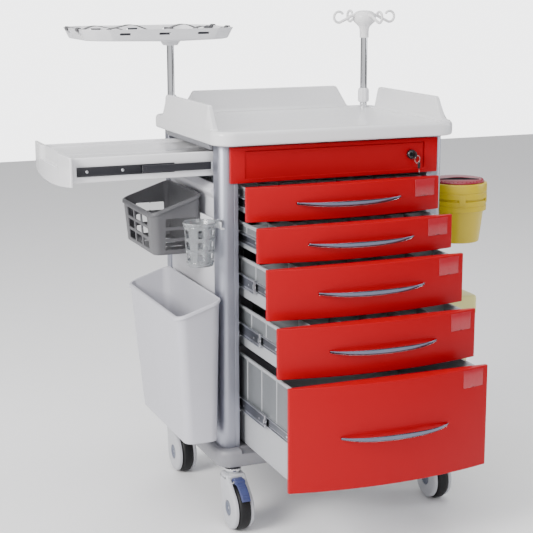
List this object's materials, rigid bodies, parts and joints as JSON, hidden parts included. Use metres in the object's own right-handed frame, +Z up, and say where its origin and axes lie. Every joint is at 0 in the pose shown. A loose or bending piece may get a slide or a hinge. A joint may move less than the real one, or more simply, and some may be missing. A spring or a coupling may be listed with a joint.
{
  "type": "crash cart",
  "caption": "Hospital resuscitation trolley with bowed red drawers, worktop guards, side shelf, infusion pole, monitor tray, bins and swivel casters.",
  "frame": {"origin": "middle of the underside of the bounding box, on the floor", "axes": "+Z up, -Y the way the drawers open, +X the cart's right side seen from the front"},
  "size_m": [0.997, 0.8486, 1.1029],
  "materials": {
    "aluminium": "satin anodised, drawn lengthwise",
    "base_grey": "satin mid grey moulding",
    "basket_grey": "mid grey moulded lattice",
    "bin_grey": "light grey moulded bin",
    "box_grey": "light grey moulded drawer box",
    "caster_grey": "light grey nylon with fine texture",
    "chrome": "polished chrome plating",
    "clear_plastic": "frosted translucent moulding",
    "lock_black": "black lacquered lock barrel",
    "pale_yellow": "pale yellow moulded bin",
    "panel_grey": "fine-textured light grey moulding",
    "pedal_blue": "slate blue moulding",
    "red_front": "glossy moulded red front",
    "sharps_red": "crimson moulded lid",
    "sharps_yellow": "yellow moulded container",
    "slide_black": "black painted steel",
    "slide_steel": "zinc-plated rolled steel",
    "tyre": "black rubber tread",
    "white_plastic": "smooth satin white moulding"
  },
  "bodies": {
    "cabinet": {"base_tray": "base_grey", "column_front_left": "aluminium", "column_front_right": "aluminium", "column_rear_left": "aluminium", "column_rear_right": "aluminium", "side_panel_left": "panel_grey", "side_panel_right": "panel_grey", "back_panel": "panel_grey", "lock_panel": "red_front", "lock_barrel": "lock_black", "worktop": "white_plastic"},
    "drawer_1": {"drawer_1_front": "red_front", "drawer_1_box": "box_grey", "drawer_1_handle": "aluminium"},
    "drawer_2": {"drawer_2_front": "red_front", "drawer_2_box": "box_grey", "drawer_2_handle": "aluminium"},
    "drawer_3": {"drawer_3_front": "red_front", "drawer_3_box": "box_grey", "drawer_3_handle": "aluminium"},
    "drawer_3_middle_rails": {"drawer_3_middle_rail_left": "slide_steel", "drawer_3_middle_rail_right": "slide_steel"},
    "drawer_4": {"drawer_4_front": "red_front", "drawer_4_box": "box_grey", "drawer_4_handle": "aluminium"},
    "drawer_4_middle_rails": {"drawer_4_middle_rail_left": "slide_steel", "drawer_4_middle_rail_right": "slide_steel"},
    "drawer_5": {"drawer_5_front": "red_front", "drawer_5_box": "box_grey", "drawer_5_handle": "aluminium"},
    "drawer_5_middle_rails": {"drawer_5_middle_rail_left": "slide_steel", "drawer_5_middle_rail_right": "slide_steel"},
    "caster_front_left": {"caster_fork_front_left": "caster_grey"},
    "wheel_front_left": {"caster_wheel_front_left": "tyre"},
    "brake_left": {"brake_pedal_left": "pedal_blue"},
    "caster_front_right": {"caster_fork_front_right": "caster_grey"},
    "wheel_front_right": {"caster_wheel_front_right": "tyre"},
    "brake_right": {"brake_pedal_right": "pedal_blue"},
    "caster_rear_left": {"caster_fork_rear_left": "caster_grey"},
    "wheel_rear_left": {"caster_wheel_rear_left": "tyre"},
    "caster_rear_right": {"caster_fork_rear_right": "caster_grey"},
    "wheel_rear_right": {"caster_wheel_rear_right": "tyre"},
    "key": {"key": "slide_steel"},
    "iv_clamp_knob": {"iv_clamp_knob": "white_plastic"},
    "iv_pole": {"iv_rod": "chrome", "iv_hook_head": "white_plastic"},
    "tray_clamp_knob": {"tray_clamp_knob": "white_plastic"},
    "tray_pole": {"tray_pole": "chrome", "monitor_tray": "white_plastic"},
    "basket": {"basket": "basket_grey"},
    "cup": {"cup_holder": "clear_plastic"},
    "waste_bin": {"waste_bin": "bin_grey"},
    "sharps": {"sharps_container": "sharps_yellow", "sharps_lid": "sharps_red"},
    "yellow_bin": {"yellow_bin": "pale_yellow"},
    "yellow_bin_lid": {"yellow_bin_lid": "pale_yellow"},
    "side_shelf": {"side_shelf": "white_plastic"},
    "shelf_middle_rails": {"shelf_middle_rail_front": "slide_black", "shelf_middle_rail_rear": "slide_black"}
  },
  "joints": [
    {"name": "drawer_1_slide", "type": "slide", "parent": "cabinet", "child": "drawer_1", "axis": [0, -1, 0], "range_m": [-0.042, 0.218]},
    {"name": "drawer_2_slide", "type": "slide", "parent": "cabinet", "child": "drawer_2", "axis": [0, -1, 0], "range_m": [-0.104, 0.156]},
    {"name": "drawer_3_slide", "type": "slide", "parent": "cabinet", "child": "drawer_3", "axis": [0, -1, 0], "range_m": [-0.156, 0.164]},
    {"name": "drawer_3_half_slide", "type": "slide", "parent": "cabinet", "child": "drawer_3_middle_rails", "axis": [0, -1, 0], "range_m": [-0.078, 0.082]},
    {"name": "drawer_4_slide", "type": "slide", "parent": "cabinet", "child": "drawer_4", "axis": [0, -1, 0], "range_m": [-0.213, 0.107]},
    {"name": "drawer_4_half_slide", "type": "slide", "parent": "cabinet", "child": "drawer_4_middle_rails", "axis": [0, -1, 0], "range_m": [-0.1065, 0.0535]},
    {"name": "drawer_5_slide", "type": "slide", "parent": "cabinet", "child": "drawer_5", "axis": [0, -1, 0], "range_m": [-0.27, 0.05]},
    {"name": "drawer_5_half_slide", "type": "slide", "parent": "cabinet", "child": "drawer_5_middle_rails", "axis": [0, -1, 0], "range_m": [-0.135, 0.025]},
    {"name": "caster_front_left_swivel", "type": "hinge", "parent": "cabinet", "child": "caster_front_left", "pos_m": [-0.15655, -0.0967, 0.1355], "axis": [0, 0, 1], "continuous": true},
    {"name": "caster_front_left_spin", "type": "hinge", "parent": "caster_front_left", "child": "wheel_front_left", "pos_m": [-0.15655, -0.1277, 0.05], "axis": [1, 0, 0], "continuous": true},
    {"name": "brake_left_hinge", "type": "hinge", "parent": "caster_front_left", "child": "brake_left", "pos_m": [-0.15655, -0.13825, 0.10983], "axis": [1, 0, 0], "range_deg": [0, 8]},
    {"name": "caster_front_right_swivel", "type": "hinge", "parent": "cabinet", "child": "caster_front_right", "pos_m": [0.32945, -0.0967, 0.1355], "axis": [0, 0, 1], "continuous": true},
    {"name": "caster_front_right_spin", "type": "hinge", "parent": "caster_front_right", "child": "wheel_front_right", "pos_m": [0.32945, -0.1277, 0.05], "axis": [1, 0, 0], "continuous": true},
    {"name": "brake_right_hinge", "type": "hinge", "parent": "caster_front_right", "child": "brake_right", "pos_m": [0.32945, -0.13825, 0.10983], "axis": [1, 0, 0], "range_deg": [0, 8]},
    {"name": "caster_rear_left_swivel", "type": "hinge", "parent": "cabinet", "child": "caster_rear_left", "pos_m": [-0.15655, 0.2873, 0.1355], "axis": [0, 0, 1], "continuous": true},
    {"name": "caster_rear_left_spin", "type": "hinge", "parent": "caster_rear_left", "child": "wheel_rear_left", "pos_m": [-0.15655, 0.2563, 0.05], "axis": [1, 0, 0], "continuous": true},
    {"name": "caster_rear_right_swivel", "type": "hinge", "parent": "cabinet", "child": "caster_rear_right", "pos_m": [0.32945, 0.2873, 0.1355], "axis": [0, 0, 1], "continuous": true},
    {"name": "caster_rear_right_spin", "type": "hinge", "parent": "caster_rear_right", "child": "wheel_rear_right", "pos_m": [0.32945, 0.2563, 0.05], "axis": [1, 0, 0], "continuous": true},
    {"name": "key_turn", "type": "hinge", "parent": "cabinet", "child": "key", "pos_m": [0.26515, -0.103, 0.80129], "axis": [0, -1, 0], "range_deg": [0, 90]},
    {"name": "iv_clamp_knob_turn", "type": "hinge", "parent": "cabinet", "child": "iv_clamp_knob", "pos_m": [0.33495, 0.2793, 0.8708], "axis": [0, 0, 1], "range_deg": [0, 90]},
    {"name": "iv_pole_lift", "type": "slide", "parent": "cabinet", "child": "iv_pole", "axis": [0, 0, 1], "range_m": [0, 0.45]},
    {"name": "tray_clamp_knob_turn", "type": "hinge", "parent": "cabinet", "child": "tray_clamp_knob", "pos_m": [-0.16205, 0.2793, 0.8708], "axis": [0, 0, 1], "range_deg": [0, 90]},
    {"name": "tray_pole_swivel", "type": "hinge", "parent": "cabinet", "child": "tray_pole", "pos_m": [-0.16205, 0.2793, 0.8708], "axis": [0, 0, 1], "continuous": true},
    {"name": "basket_lift", "type": "slide", "parent": "cabinet", "child": "basket", "axis": [0, 0, 1], "range_m": [0, 0.018]},
    {"name": "cup_lift", "type": "slide", "parent": "cabinet", "child": "cup", "axis": [0, 0, 1], "range_m": [0, 0.018]},
    {"name": "waste_bin_lift", "type": "slide", "parent": "cabinet", "child": "waste_bin", "axis": [0, 0, 1], "range_m": [0, 0.018]},
    {"name": "sharps_lift", "type": "slide", "parent": "cabinet", "child": "sharps", "axis": [0, 0, 1], "range_m": [0, 0.018]},
    {"name": "yellow_bin_lift", "type": "slide", "parent": "cabinet", "child": "yellow_bin", "axis": [0, 0, 1], "range_m": [0, 0.018]},
    {"name": "yellow_lid_hinge", "type": "hinge", "parent": "yellow_bin", "child": "yellow_bin_lid", "pos_m": [0.36445, 0.0953, 0.4508], "axis": [0, -1, 0], "range_deg": [0, 80]},
    {"name": "shelf_slide", "type": "slide", "parent": "cabinet", "child": "side_shelf", "axis": [-1, 0, 0], "range_m": [-0.2995, 0]},
    {"name": "shelf_half_slide", "type": "slide", "parent": "cabinet", "child": "shelf_middle_rails", "axis": [-1, 0, 0], "range_m": [-0.14975, 0]}
  ],
  "couplings": [
    {"joint": "drawer_3_half_slide", "follows": "drawer_3_slide", "ratio": 0.5},
    {"joint": "drawer_4_half_slide", "follows": "drawer_4_slide", "ratio": 0.5},
    {"joint": "drawer_5_half_slide", "follows": "drawer_5_slide", "ratio": 0.5},
    {"joint": "shelf_half_slide", "follows": "shelf_slide", "ratio": 0.5}
  ]
}
